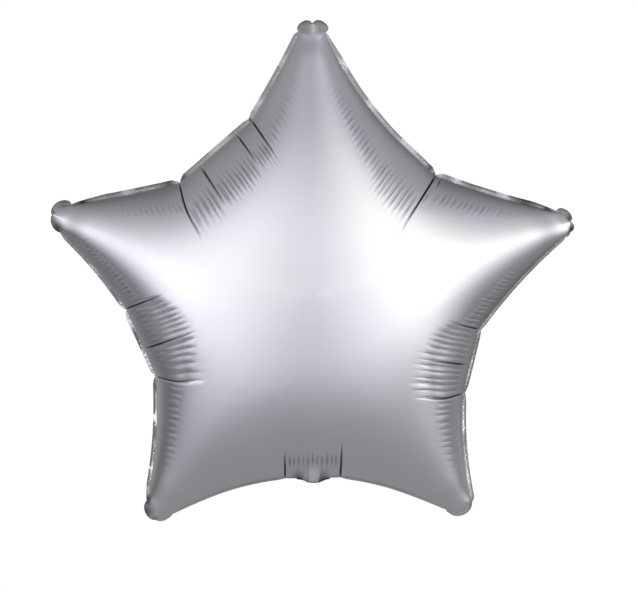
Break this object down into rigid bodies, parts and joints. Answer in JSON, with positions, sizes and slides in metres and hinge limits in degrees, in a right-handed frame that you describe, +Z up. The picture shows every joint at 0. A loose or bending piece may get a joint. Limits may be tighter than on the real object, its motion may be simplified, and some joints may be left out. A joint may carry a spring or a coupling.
{
  "type": "foil balloon",
  "caption": "Inflated star-shaped foil balloon with gathered, creased edges, a sealed ruffled rim and a filling neck folded up behind.",
  "frame": {"origin": "the neck's root at the middle of the bottom valley, in the plane of the seam, where a ribbon is tied", "axes": "+Z up along the top arm; +X to the right as seen from the front, tip to tip of the side arms; -Y out of the front face, so the balloon is thinnest along Y"},
  "size_m": [0.4542, 0.1866, 0.4336],
  "materials": {
    "foil": "satin metallised plastic film, silver with a faint violet cast"
  },
  "bodies": {
    "root": {"star_balloon": "foil"}
  },
  "joints": []
}
